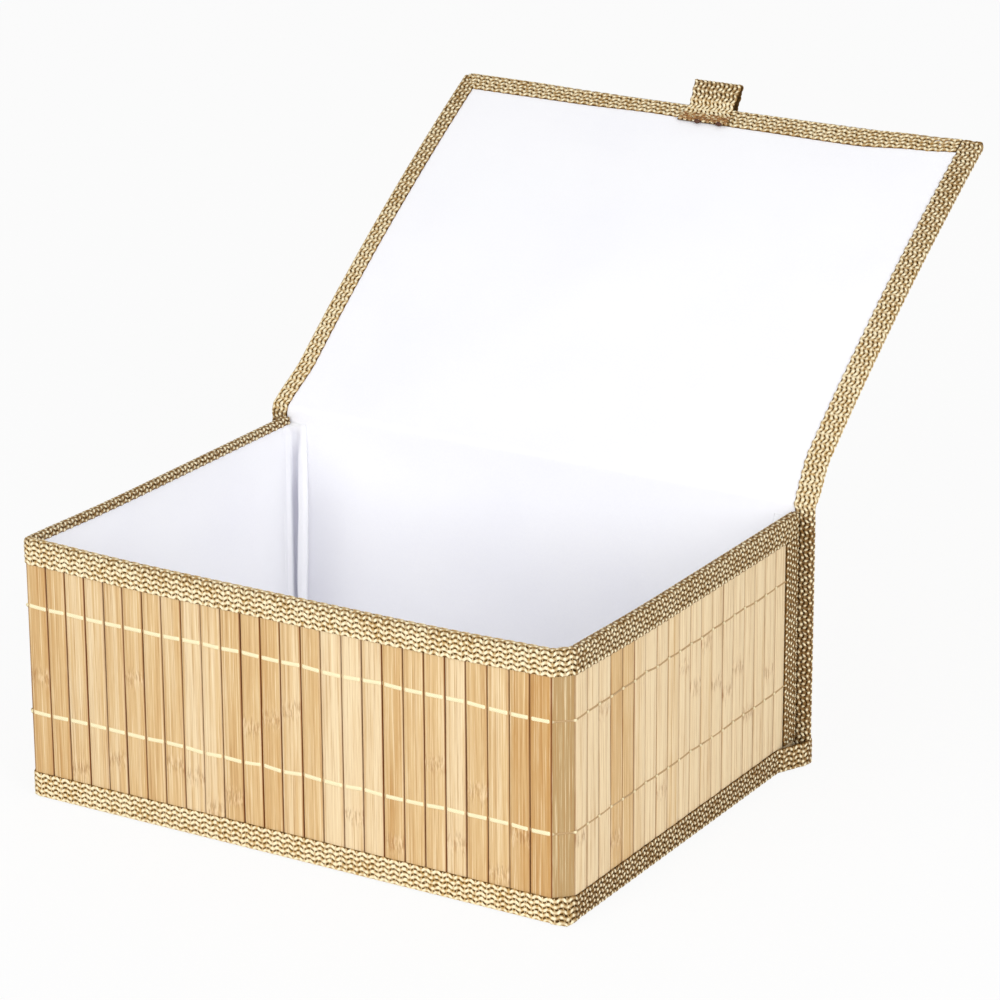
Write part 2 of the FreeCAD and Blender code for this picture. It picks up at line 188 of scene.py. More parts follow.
def bambooFinish(wire):
    look = bambooLook
    across, along, seed = wire.mark("across"), wire.mark("along"), wire.mark("seed")
    nodeGap = wire.mark("nodeGap")
    fine = wire.noise(wire.join(across + seed * 83, along * 0.01, seed * 40), 1.5, 4.0, 0.75)
    broad = wire.noise(wire.join(across * 0.35 + seed * 51, along * 0.006, seed * 9), 1.2, 2.0)
    mottle = wire.noise(wire.join(across * 0.3 + seed * 23, along * 0.06, seed * 31), 0.5, 2.0)
    tone = wire.mark("tone") + (broad - 0.5) * 1.1 + (mottle - 0.5) * 0.4
    colour = wire.blend(look["pale"], look["honey"], wire.step(tone, 0.0, 0.65))
    colour = wire.blend(colour, look["orange"], wire.step(tone, 0.6, 1.2) * 0.9)
    colour = wire.blend(colour, look["aged"], wire.mark("aged"))
    colour = wire.blend(colour, look["streak"], wire.step(fine, 0.5, 0.66) * 0.6)
    colour = wire.blend(colour, look["gleam"], wire.step(fine, 0.48, 0.34) * 0.6)
    # fibrous patch at a node of the cane
    jag = wire.noise(wire.join(across * 1.1 + seed * 17, along * 0.05, seed * 5), 1.0, 2.0)
    fleck = wire.noise(wire.join(across * 1.3 + seed * 61, along * 0.16, seed * 3), 1.0, 3.0, 0.6)
    patch = wire.step(abs(nodeGap + (jag - 0.5) * 14), 6.0, 1.0)
    colour = wire.blend(colour, look["node"], patch * wire.step(fleck, 0.46, 0.62) * 0.55)
    colour = wire.blend(colour, look["fleck"], patch * wire.step(fleck, 0.5, 0.38) * 0.55)
    # painted shade: each slat's eased edges and sides darken to brown in the gaps between slats, strongest on
    # the front wall, weakest on the right
    colour = wire.blend(colour, look["edge"], wire.step(wire.mark("edge"), 0.88, 1.0) * wire.mark("edgeTone"))
    relief = fine * 0.6 + patch * fleck
    return surface(colour, 0.45 + fine * 0.2, relief, 0.3, specular=0.25)


threadLook = {"cream": paint(250, 238, 196), "tan": paint(164, 124, 76), "twist": paint(196, 164, 110)}


def threadFinish(wire):
    along = wire.mark("along")
    twist = wire.node(
        "TexWave",
        {"wave_type": "BANDS", "bands_direction": "DIAGONAL"},
        {"Vector": wire.join(along, wire.mark("around"), 0.0), "Scale": 0.6, "Distortion": 1.0},
        "Fac",
    )
    colour = wire.blend(threadLook["cream"], threadLook["tan"], wire.mark("tan"))
    colour = wire.blend(colour, threadLook["twist"], wire.step(twist, 0.6, 1.0) * 0.3)
    return surface(colour, 0.6 + twist * 0.1, twist, 0.25, 0.0002)


# cream is painted highlight on the yarn, brown its painted shade on dark runs
tapeLook = {
    "cream": paint(252, 240, 204),
    "gold": paint(204, 164, 98),
    "brown": paint(116, 80, 32),
    "paintedFlankShade": paint(120, 86, 38),
    "hollow": paint(124, 94, 50),
    "ground": paint(88, 61, 27),
    "groundDark": paint(46, 31, 13),
}


def yarnFinish(wire):
    place = wire.objectPlace()
    crest, shade = wire.mark("crest"), wire.mark("shade")
    fibre = wire.noise(place, 1100.0, 3.0, 0.7)
    patch = wire.noise(place, 90.0, 2.0)
    blotch = wire.noise(place, 380.0, 1.0)
    uneven = (fibre - 0.5) * 0.6 + (patch - 0.5) * 0.6 + (blotch - 0.5) * 0.9
    # painted highlight: cream along the crests of light runs, and only in dashes on dark ones, for the sheen
    # of the glossy yarn
    dash = wire.mark("dash")
    crestHighlight = wire.step(crest + (dash - 0.5) * 0.6 + uneven, 0.25, 0.95)
    dotHighlight = wire.step(crest * 0.8 + dash * 1.3 + uneven, 1.25, 1.85)
    light = crestHighlight + (dotHighlight - crestHighlight) * shade
    # painted shade: the yarn body turns from gold to brown on dark runs
    body = wire.blend(tapeLook["gold"], tapeLook["brown"], shade)
    colour = wire.blend(body, tapeLook["cream"], light)
    # painted shade on the lower flanks of each row
    colour = wire.blend(colour, tapeLook["paintedFlankShade"], wire.step(crest, 0.35, -0.6) * 0.85)
    return surface(colour, 0.45 + fibre * 0.2, fibre, 0.35, specular=0.2)


def groundFinish(wire):
    # the ground between the rows is dark brown, partly painted shade in the gaps
    weave = wire.noise(wire.objectPlace(), 700.0, 2.0)
    speck = wire.step(weave, 0.35, 0.7)
    light = wire.blend(tapeLook["hollow"], tapeLook["ground"], speck)
    dark = wire.blend(tapeLook["ground"], tapeLook["groundDark"], speck)
    # painted shade: darker ground on dark runs
    colour = wire.blend(light, dark, wire.mark("shade"))
    return surface(colour, 0.8 + weave * 0.1, weave, 0.4, 0.0004, 0.1)


liningLook = {"white": paint(252, 252, 255), "shade": paint(248, 248, 253), "crease": paint(206, 206, 218)}


def liningFinish(wire):
    place = wire.objectPlace()
    felt = wire.noise(place, 1100.0, 4.0, 0.7)
    cloud = wire.noise(place, 14.0, 2.0)
    patchy = wire.step(cloud + (felt - 0.5) * 0.9, 0.3, 0.9)
    colour = wire.blend(liningLook["white"], liningLook["shade"], patchy)
    # painted shade in the pleat's groove and beside the left pleat on the back lining
    colour = wire.blend(colour, liningLook["crease"], wire.mark("crease"))
    return surface(colour, 0.85 + felt * 0.1, felt, 0.18)


coverLook = {"cloth": paint(226, 214, 190), "dark": paint(204, 190, 160)}


def coverFinish(wire):
    place = wire.objectPlace()
    threads = [
        wire.node("TexWave", {"bands_direction": way}, {"Vector": place, "Scale": 260.0}, "Fac")
        for way in ("X", "Y")
    ]
    weave = threads[0] * threads[1]
    slub = wire.noise(place, 240.0, 3.0)
    colour = wire.blend(coverLook["cloth"], coverLook["dark"], wire.step(weave + slub, 0.55, 1.1))
    return surface(colour, 0.82 + slub * 0.12, weave, 0.4)


boardLook = {"pulp": paint(152, 106, 58), "dark": paint(110, 70, 32)}


def boardFinish(wire):
    pulp = wire.noise(wire.objectPlace(), 420.0, 5.0, 0.7)
    colour = wire.blend(boardLook["pulp"], boardLook["dark"], wire.step(pulp, 0.35, 0.7))
    return surface(colour, 0.78 + pulp * 0.15, pulp, 0.3)


stitchLook = {"thread": paint(176, 128, 72), "shade": paint(128, 84, 42), "knot": paint(72, 32, 12)}


def stitchFinish(wire):
    strand = wire.noise(wire.objectPlace(), 900.0, 2.0)
    colour = wire.blend(stitchLook["thread"], stitchLook["shade"], wire.step(strand, 0.4, 0.65))
    colour = wire.blend(colour, stitchLook["knot"], wire.mark("dark") * 0.95)
    return surface(colour, 0.6 + strand * 0.2, strand, 0.4)


bamboo = newMaterial("bambooSlat", bambooFinish)
thread = newMaterial("matThread", threadFinish)
yarn = newMaterial("tapeYarn", yarnFinish)
ground = newMaterial("tapeGround", groundFinish)
lining = newMaterial("liningCloth", liningFinish)
cover = newMaterial("coverCloth", coverFinish)
board = newMaterial("fibreBoard", boardFinish)
stitch = newMaterial("tabStitch", stitchFinish)
print("materials ready")


# Mesh tools, in millimetres


class Shape:
    # gathers swept grids of points into one mesh
    def __init__(self):
        self.points, self.faces, self.finishes, self.marks, self.count = [], [], [], [], 0

    def sweep(self, grid, finish=0, **marks):
        # grid holds places along the piece, points round its section and x, y, z
        along, around = grid.shape[:2]
        index = np.arange(along * around).reshape(along, around) + self.count
        ring = np.hstack([index, index[:, :1]])
        quads = np.stack([ring[:-1, :-1], ring[:-1, 1:], ring[1:, 1:], ring[1:, :-1]], -1)
        # an end is closed by joining the two halves of its section
        near = np.arange(around // 2 - 1)
        cap = np.stack([near, near + 1, around - 2 - near, around - 1 - near], -1)
        faces = np.vstack([quads.reshape(-1, 4), index[0][cap[:, ::-1]], index[-1][cap]])
        self.points.append(grid.reshape(-1, 3))
        self.faces.append(faces)
        self.finishes.append(np.full(len(faces), finish))
        self.marks.append((along, around, marks))
        self.count += along * around

    def layer(self, front, back, finish=0, **marks):
        # a sheet between two faces
        mirrored = {name: np.hstack([values, values[:, ::-1]]) for name, values in marks.items()}
        self.sweep(np.hstack([front, back[:, ::-1]]), finish, **mirrored)

    def build(self, name, materials):
        mesh = bpy.data.meshes.new(name)
        mesh.from_pydata((np.vstack(self.points) / 1000).tolist(), [], np.vstack(self.faces).tolist())
        mesh.polygons.foreach_set("material_index", np.concatenate(self.finishes).astype(np.int32))
        mesh.polygons.foreach_set("use_smooth", np.ones(len(mesh.polygons), bool))
        for mark in sorted({mark for *_, marks in self.marks for mark in marks}):
            values = [
                np.broadcast_to(marks.get(mark, 0.0), (along, around)).ravel()
                for along, around, marks in self.marks
            ]
            mesh.attributes.new(mark, "FLOAT", "POINT").data.foreach_set("value", np.concatenate(values))
        turned = bmesh.new()
        turned.from_mesh(mesh)
        bmesh.ops.recalc_face_normals(turned, faces=turned.faces)
        turned.to_mesh(mesh)
        turned.free()
        for material in materials:
            mesh.materials.append(material)
        piece = bpy.data.objects.new(name, mesh)
        scene.collection.objects.link(piece)
        print(name, len(mesh.polygons), "faces")
        return piece


class Path:
    # a line through corners with every bend eased, known by the distance along it
    def __init__(self, corners, ease, spacing=1.5):
        corners = [np.array(corner, float) for corner in corners]
        points = [corners[0]]
        for before, corner, after in zip(corners, corners[1:], corners[2:]):
            points += self.bend(before, corner, after, ease)
        points = np.array(points + [corners[-1]])
        run = np.r_[0, np.cumsum(np.linalg.norm(np.diff(points, axis=0), axis=1))]
        self.length = run[-1]
        even = np.linspace(0, self.length, int(self.length / spacing) + 2)
        self.along = np.unique(np.round(np.r_[run, even], 3))
        self.points = np.stack([np.interp(self.along, run, points[:, axis]) for axis in (0, 1)], 1)
        heading = np.gradient(self.points, self.along, axis=0)
        self.normals = np.stack([heading[:, 1], -heading[:, 0]], 1)

    def bend(self, before, corner, after, ease):
        back, ahead = before - corner, after - corner
        room = 0.48 * min(np.linalg.norm(back), np.linalg.norm(ahead))
        back, ahead = back / np.linalg.norm(back), ahead / np.linalg.norm(ahead)
        half = math.acos(np.clip(back @ ahead, -1, 1)) / 2
        reach = min(ease / math.tan(half), room) if half < 1.57 else 0.0
        if reach < 0.01:
            return [corner]
        shares = np.linspace(0, 1, max(4, int((math.pi - 2 * half) / 0.2) + 2))
        radius = reach * math.tan(half)
        middle = corner + (back + ahead) / np.linalg.norm(back + ahead) * radius / math.sin(half)
        first = corner + back * reach - middle
        turn = (math.pi - 2 * half) * np.sign(back[1] * ahead[0] - back[0] * ahead[1])
        return [
            middle + np.array([
                first[0] * math.cos(turn * share) - first[1] * math.sin(turn * share),
                first[0] * math.sin(turn * share) + first[1] * math.cos(turn * share),
            ])
            for share in shares
        ]

    def at(self, along):
        point, normal = (
            np.stack([np.interp(along, self.along, values[:, axis]) for axis in (0, 1)], -1)
            for values in (self.points, self.normals)
        )
        return point, normal / np.linalg.norm(normal, axis=-1, keepdims=True)

    def nearest(self, point):
        return self.along[np.argmin(np.linalg.norm(self.points - np.array(point), axis=1))]


def ripple(across, along, seed, size):
    # soft irregular waves of about the given size, near -1 to 1
    waves = np.random.default_rng(seed)
    total = 0.0
    for _ in range(9):
        heading, length = waves.uniform(0, 2 * math.pi), size * waves.uniform(0.6, 1.7)
        far = across * math.cos(heading) + along * math.sin(heading)
        total = total + np.sin(far * 6.283 / length + waves.uniform(0, 6.28))
    return total / 4.5


def eased(places, values):
    # a smooth curve that passes level through the given values
    places, values = np.array(places, float), np.array(values, float)

    def curve(at):
        at = np.clip(at, places[0], places[-1])
        low = np.clip(np.searchsorted(places, at, side="right") - 1, 0, len(places) - 2)
        share = (at - places[low]) / (places[low + 1] - places[low])
        return values[low] + (values[low + 1] - values[low]) * share * share * (3 - 2 * share)

    return curve


def settle(shape, name, materials, nodes, body="box"):
    # builds a piece and hides the parts it stands in for; one with a body is attached to it, one without has
    # its place baked in
    piece = shape.build(name, materials)
    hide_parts(*nodes)
    if body:
        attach(piece, body)
    else:
        start, end = (panelPath.at(hingeAlong + shift)[0] / 1000 for shift in (-hingeBend, hingeBend))
        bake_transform(piece)
    return piece


def wallCorners(inset, rear, leftLeg=box["leftLeg"]):
    # plan of the walls at an inset from the outside, from the left rear round the front to the right rear
    rightLeg = box["rightLeg"] - (2 - math.sqrt(2)) * inset
    side, front = halfWidth - inset, inset - halfDepth
    return [
        (-side, rear),
        (-side, front + leftLeg),
        (-side + leftLeg, front),
        (side - rightLeg, front),
        (side, front + rightLeg),
        (side, rear),
    ]


def lidSpot(along, depth=0.0):
    # a place on the lid in its upright plane, by distance from the hinge and depth below the inner face
    turn = math.pi / 2 - lean + halfTurn - along / bowRadius
    return bowDepth - (bowRadius - depth) * math.sin(turn), bowHeight + (bowRadius - depth) * math.cos(turn)


# the inner face of the back panel and the lid as one line, bent at the hinge
panelCorners = [(halfDepth, box["tape"]), (halfDepth, box["hingeHeight"])]
panelCorners += [lidSpot(along) for along in np.linspace(0, lidArc, 25)[1:]]
panelPath = Path(panelCorners, 5.0)
hingeAlong = box["hingeHeight"] - box["tape"]
hingeRun = panelPath.length - lidArc  # the same point on the eased line
hingeBend = 5.0  # half the length over which cloth bends
foldStep = 0.4  # spacing of the points on a folded section


# Binding tape: wavy rows of yarn along it, tied across once in each wave and by fine threads between,
# over a dark ground

knit = {
    "rowPitch": 2.55,
    "wave": 5.85,
    "swing": 0.56,
    "drift": 0.35,  # how unevenly the waves follow each other
    "rowHalf": 0.98,
    "rowRise": 0.5,
    "rowLevel": -0.22,
    "samples": 8,
    "wallTieHalf": 0.36,
    "lidTieHalf": 0.72,
    "tieRise": 0.4,
    "tieLevel": -0.25,
    "tieStep": 1.1,
    "sideMargin": 0.25,  # what ties leave free at the tape's sides and at its cut ends
    "endMargin": 0.4,
    "fineTies": (0.3, 0.62),  # places of the fine threads in a wave
    "fineHalf": 0.2,
    "fineLevel": -0.2,
    "fineSway": 0.25,
    "groundTop": -0.5,
    "groundBack": -0.8,
    "groundMargin": 0.12,
    "groundSteps": (0.8, 1.6),  # across and along
    "wallCut": 0.2,
}


def folded(fold, put, slip=None):
    # places by the distance along a tape, across it and off its face; put sets the plane of the fold in space
    def place(along, across, level):
        if slip:
            across = across + slip(along)
        along, across, level = np.broadcast_arrays(along, across, level)
        spot, facing = fold.at(across)
        return put(along, spot + facing * level[..., None])

    return place


def onPanel(across, upright):
    # a place by its distance across the panel, and its depth and height
    return np.concatenate([across[..., None], upright], -1)


def lidFrontFold(fold, slip, wander):
    # tape on the lid's front edge: fold as ahead of the edge and out of the outer face
    edge, out = panelPath.at(panelPath.length)
    front = np.array([-out[1], out[0]])

    def put(along, spot):
        ahead = spot[..., :1] + wander(along)[..., None]
        return onPanel(along, edge + front * ahead + out * spot[..., 1:])

    return folded(fold, put, slip)


def knitTape(place, width, starts, ends, shadeAt, tieHalf=knit["lidTieHalf"]):
    # starts and ends give where the tape is cut, by the distance across it, and shadeAt how much painted
    # shade it gets
    shape = Shape()
    rows, wave = round(width / knit["rowPitch"]), knit["wave"]
    ring = (np.arange(6) + 0.5) * math.pi / 3
    for row in range(rows):
        middle = (row + 0.5) * (width / rows)
        along = np.arange(starts(middle), ends(middle), wave / knit["samples"])[:, None]
        uneven = knit["drift"] * np.sin(along * 0.05 + chance.uniform(0, 6.28))
        phase = along * 2 * math.pi / wave + uneven
        across = middle + knit["swing"] * (np.sin(phase) + 0.15 * np.sin(3 * phase))
        level = knit["rowLevel"] + 0.07 * np.cos(2 * phase) + knit["rowRise"] * np.sin(ring)
        grid = place(along, across + knit["rowHalf"] * np.cos(ring), level)
        # where dashes of painted highlight fall along each row
        dash = 0.5 + 0.5 * np.cos(2 * phase + row * math.pi)
        shape.sweep(grid, crest=np.sin(ring)[None, :], shade=shadeAt(along, middle), dash=dash)
    square = (np.arange(4) + 0.5) * math.pi / 2
    side, room = knit["sideMargin"], knit["endMargin"]
    threads = np.linspace(side, width - side, int(width / knit["tieStep"]) + 2)[:, None]
    first, last = starts(threads).min(), ends(threads).max()

    def tie(count, along, half, rise, level, sway, dash):
        # one thread across, as far as the tape reaches there
        held = threads[(along > starts(threads) + room) & (along < ends(threads) - room)][:, None]
        if len(held) < 2:
            return False
        bent = along + sway * np.sin(held * 2.4 + count)
        grid = place(bent + half * np.cos(square), held, level + rise * np.sin(square))
        shape.sweep(grid, crest=0.9 * np.sin(square)[None, :], shade=shadeAt(along, held), dash=dash)
        return True

    fineHalf, fineLevel = knit["fineHalf"], knit["fineLevel"]
    for count in np.arange(math.ceil(first / wave), last / wave):
        along = (count - 0.25) * wave
        if tie(count, along, tieHalf, knit["tieRise"], knit["tieLevel"], 0.0, 0.4):
            for share in knit["fineTies"]:
                near = along + (share + chance.normal(0, 0.05)) * wave
                tie(count, near, fineHalf, fineHalf, fineLevel, knit["fineSway"], 0.6)
    margin, (acrossStep, alongStep) = knit["groundMargin"], knit["groundSteps"]
    across = np.linspace(margin, width - margin, int(width / acrossStep))
    share = np.linspace(0, 1, int((last - first) / alongStep) + 2)[:, None]
    along = starts(across) + share * (ends(across) - starts(across))
    upper, lower = (place(along, across, knit[face]) for face in ("groundTop", "groundBack"))
    shape.layer(upper, lower, 1, shade=shadeAt(along, across))
    return shape


def straight(value):
    return lambda *place: value + 0.0 * place[0]


def alongOnly(curve):
    # painted shade that changes only along the tape
    return lambda along, across: curve(along + 0 * across)


# painted shade of each tape run, 0 light and 1 dark: it stands in for how light falls on the shiny yarn; the
# tape is one colour throughout
paintedTapeShade = {
    "rimFront": 0.17,
    "rimSide": 0.8,
    "ridge": 0.35,  # how much darker the folded edge is along the front
    "ridgeHalf": 3.0,
    "baseFront": 0.08,
    "baseSide": 0.9,
    "panel": 0.9,
    "hinge": 0.25,
    "lidSide": 0.68,
    "lidFront": 0.5,
}


def wallTape(word, parts, path, fold, put, ridgeAt):
    # a tape round the walls gets painted shade: light along the front and dark along the sides and its ridge
    front, side = paintedTapeShade[word + "Front"], paintedTapeShade[word + "Side"]

    def shadeAt(along, across):
        out = path.at(along)[1]
        ridge = paintedTapeShade["ridge"] * np.exp(-(((across - ridgeAt) / paintedTapeShade["ridgeHalf"]) ** 2))
        return front + ridge + (side - front - ridge) * out[..., 0] ** 2

    cuts = straight(knit["wallCut"]), straight(path.length - knit["wallCut"])
    shape = knitTape(folded(fold, put), fold.length, *cuts, shadeAt, knit["wallTieHalf"])
    settle(shape, word + "Tape", [yarn, ground], [f"{word}_binding_{part}" for part in parts])


rightCorner = (halfWidth - box["rightLeg"] / 2, box["rightLeg"] / 2 - halfDepth)
rim = {
    "outerLeg": 12.6,
    "innerLeg": 4.0,
    "puff": 0.5,  # how much thicker the rim is than the wall
    "foldEase": 1.5,
    "cornerEase": 6.0,
    "leftLeg": 2.6,
    "cornerLift": 1.6,  # the rim stands higher at the front corners
    "liftReach": 45.0,
}


def makeRimTape():
    path = Path(wallCorners(0.0, halfDepth, rim["leftLeg"]), rim["cornerEase"])
    top, inner = box["height"], -panel - rim["puff"]
    corners = [(0, top - rim["outerLeg"]), (0, top), (inner, top), (inner, top - rim["innerLeg"])]
    fold = Path(corners, rim["foldEase"], foldStep)
    raised = [path.nearest((-halfWidth, -halfDepth)), path.nearest(rightCorner)]

    def put(along, spot):
        # the fold lies as out from the wall and up
        base, out = path.at(along)
        lift = sum(rim["cornerLift"] * np.exp(-(((along - at) / rim["liftReach"]) ** 2)) for at in raised)
        return np.concatenate([base + out * spot[..., :1], spot[..., 1:] + lift[..., None]], -1)

    wallTape("rim", ("front", "left", "right"), path, fold, put, rim["outerLeg"])


baseTape = {
    "outerLeg": 12.6,
    "underLeg": 11.0,
    "foldEase": 0.7,
    "cornerEase": 6.0,
    "flareRun": 18.0,
    "flareLand": 2.0,
    "flareSlope": 0.49,
    "cornerPull": 5.2,  # the tape's foot is pulled out square at the right front corner
    "pullReach": 7.0,
}


def makeBaseTape():
    spread = backFlange + box["tape"]
    rear = halfDepth + panel + box["tape"]
    walls = wallCorners(0.0, halfDepth - baseTape["flareRun"], rim["leftLeg"])
    leftRear = [(0, rear), (-spread, rear), (-spread, halfDepth - baseTape["flareLand"])]
    rightRear = [(-across, deep) for across, deep in leftRear[::-1]]
    path = Path(leftRear + walls + rightRear, baseTape["cornerEase"])
    underLeg = baseTape["underLeg"]
    fold = Path([(-underLeg, 0), (0, 0), (0, baseTape["outerLeg"])], baseTape["foldEase"], foldStep)
    low = np.array([underLeg - halfWidth, underLeg - halfDepth])
    high = np.array([halfWidth - underLeg, rear - underLeg])
    corner = path.nearest(rightCorner)

    def put(along, spot):
        # as on the rim, but under the base the tape is drawn in square at the corners
        base, out = path.at(along)
        ahead, up = spot[..., :1], spot[..., 1:]
        inward = (np.clip(base, low, high) - base) / underLeg
        shift = np.where(ahead > 0, out * ahead, -inward * ahead)
        foot = np.clip(1 - up / fold.points[-1, 1], 0, 1) * np.clip(1 + ahead / underLeg, 0, 1)
        pull = baseTape["cornerPull"] * np.clip(1 - np.abs(along - corner) / baseTape["pullReach"], 0, 1)
        shift = shift + out * (foot * pull[..., None])
        return np.concatenate([base + shift, up], -1)

    wallTape("base", ("front", "left", "right", "back"), path, fold, put, 0.0)


rearTape = {"outerLeg": 12.6, "foldEase": 1.5, "foot": 12.2, "top": 118.0}


def makeRearTape(word, side):
    # what is turned in further lies under the lining
    inner = halfWidth - panel + box["tape"]
    corners = [(halfWidth, halfDepth - rearTape["outerLeg"]), (halfWidth, halfDepth), (inner, halfDepth)]
    fold = Path(corners, rearTape["foldEase"], foldStep)

    def put(along, spot):
        # the fold lies in plan, and along is the height
        return np.stack([side * spot[..., 0], spot[..., 1], along], -1)

    cuts = straight(rearTape["foot"]), straight(rearTape["top"])
    shape = knitTape(folded(fold, put), fold.length, *cuts, straight(paintedTapeShade["baseSide"]))
    settle(shape, word + "RearTape", [yarn, ground], [word + "_rear_binding"])


sideTape = {
    "width": 25.0,
    "backLeg": 9.4,
    "leftLeg": 10.0,
    "rightLeg": 11.4,
    "frontLeg": 11.4,
    "foldEase": 1.6,
    "reach": 24.0,
    "peak": 2.7,  # how far the right tape's slanted end stands past the lid's front edge
    "tail": 0.2,
    "lap": 3.5,  # overlap of the two tapes at the left front corner
    "foot": 0.1,
    # from the hinge: where the leg, the spread and the painted shade change
    "legRun": (-12, 12),
    "spreadRun": (2, 30),
    "shadeRun": (-8, 2),
}


def cornerRound(across, leg):
    # how much shorter the rows near the tape's folded edge are, at the lid's rounded corner
    near = np.abs(across - leg - panel / 2) - panel / 2
    return lidFront["cornerRound"] * np.clip(1 - near / lidFront["cornerRound"], 0, 1) ** 2


def makeSideTape(word, side):
    lidLeg, reach = sideTape[word + "Leg"], sideTape["reach"]
    corners = [(lidFlange - reach, 0), (lidFlange, 0), (lidFlange, panel), (lidFlange - reach, panel)]
    fold = Path(corners, sideTape["foldEase"], foldStep)
    legRun, spreadRun, shadeRun = (
        [hingeAlong + shift for shift in sideTape[run]] for run in ("legRun", "spreadRun", "shadeRun")
    )
    # the tape turns further in, and stands further out, where it leaves the back panel for the lid
    leg = eased(legRun, (sideTape["backLeg"], lidLeg))
    spread = eased(spreadRun, (backFlange - lidFlange, 0.0))
    # painted shade: dark on the back panel, light at the hinge, darker towards the lid's front
    shades = paintedTapeShade["panel"], paintedTapeShade["hinge"], paintedTapeShade["lidSide"]
    shade = eased([*shadeRun, panelPath.length], shades)

    def put(along, spot):
        # the fold lies as towards the side and out of the outer face
        base, out = panelPath.at(along)
        return onPanel(side * (spot[..., 0] + spread(along)), base + out * spot[..., 1:])

    def mitre(across):
        # the left tape is folded on a slant at the front corner, the right one is cut on a slant over it
        inner = np.clip(lidLeg - across, 0, None) / lidLeg
        if side < 0:
            slant = (sideTape["lap"] - sideTape["frontLeg"]) * inner
            return panelPath.length + lidFront["stand"][0] + slant - cornerRound(across, lidLeg)
        return panelPath.length + sideTape["tail"] + inner * (sideTape["peak"] - sideTape["tail"])

    place = folded(fold, put, lambda along: reach - leg(along))
    shape = knitTape(place, sideTape["width"], straight(sideTape["foot"]), mitre, alongOnly(shade))
    nodes = [f"{word}_back_binding", f"lid_{word}_binding"]
    settle(shape, word + "SideTape", [yarn, ground], nodes, None)


lidFront = {
    "width": 25.0,
    "reach": 16.0,
    "foldEase": 1.6,
    "leftEnd": -153.6,
    "cornerRound": 3.0,
    "rightEnd": 142.5,
    "webEnd": 153.2,  # where the fold's edge ends, in front of the right tape
    # by place across the lid: width turned in, and how far the tape stands off the edge
    "places": (-154, -115, -75, -35, 25, 85, 125, 143),
    "legs": (11.4, 11.6, 11.0, 9.8, 12.2, 13.2, 11.0, 10.2),
    "stand": (1.4, 1.2, 0.4, 0.0, 0.0, 0.2, 1.0, 2.0),
}


def makeLidFrontTape():
    reach = lidFront["reach"]
    corners = [(-reach, 0), (0, 0), (0, panel), (-reach, panel)]
    fold = Path(corners, lidFront["foldEase"], foldStep)
    leg, stand = (eased(lidFront["places"], lidFront[name]) for name in ("legs", "stand"))
    leftLeg, rightLeg = lidFront["legs"][0], lidFront["legs"][-1]

    def start(across):
        slant = np.clip(leftLeg - across, 0, None) / leftLeg * sideTape["leftLeg"]
        return lidFront["leftEnd"] + slant + cornerRound(across, leftLeg)

    def end(across):
        # only the edge of the fold runs on, in front of the right tape
        web = np.abs(across - rightLeg - panel / 2) < panel / 2
        return np.where(web, lidFront["webEnd"], lidFront["rightEnd"])

    place = lidFrontFold(fold, lambda along: reach - leg(along), stand)
    shape = knitTape(place, lidFront["width"], start, end, straight(paintedTapeShade["lidFront"]))
    settle(shape, "lidFrontTape", [yarn, ground], ["lid_front_binding"], "lid")


tab = {
    "offset": -1.8,
    "halfWidth": 14.0,
    "over": 0.95,  # height of the tab's face over the lid's faces
    "leg": 13.9,
    "lead": 1.5,  # bare length before the tape starts, where the knots hang
    "ease": 1.8,
    "inside": (12.3, -6.8),  # the fold's two edges, as ahead of the lid and out of its outer face
    "outside": (13.5, -4.5),
    "waist": ((1.5, 6.0, 11.0, 28.5), (1.07, 1.04, 0.92, 1.0)),  # width along the tab, from its inner end
    # painted shade along the tab, from its inner end
    "shade": ((6.0, 9.0, 14.5, 19.5), (0.6, 0.2, 0.25, 0.7)),
    "stitchRows": (0.6, 1.6, 2.7, 3.8, 4.9),  # from each end of the tape
    "stitch": 1.9,
    "stitchHalf": 0.4,
    "stitchRise": (0.2, 0.3, 0.32),  # level, arch and half height
    "stitchSlant": 0.35,
    "flecks": 0.3,  # share of the stitches that are cream
    "knots": (-2.2, 9.6),
    "knotSize": (1.8, 1.1, 1.1),
    "knotDrop": 0.5,
    "knotLevel": 0.4,
}


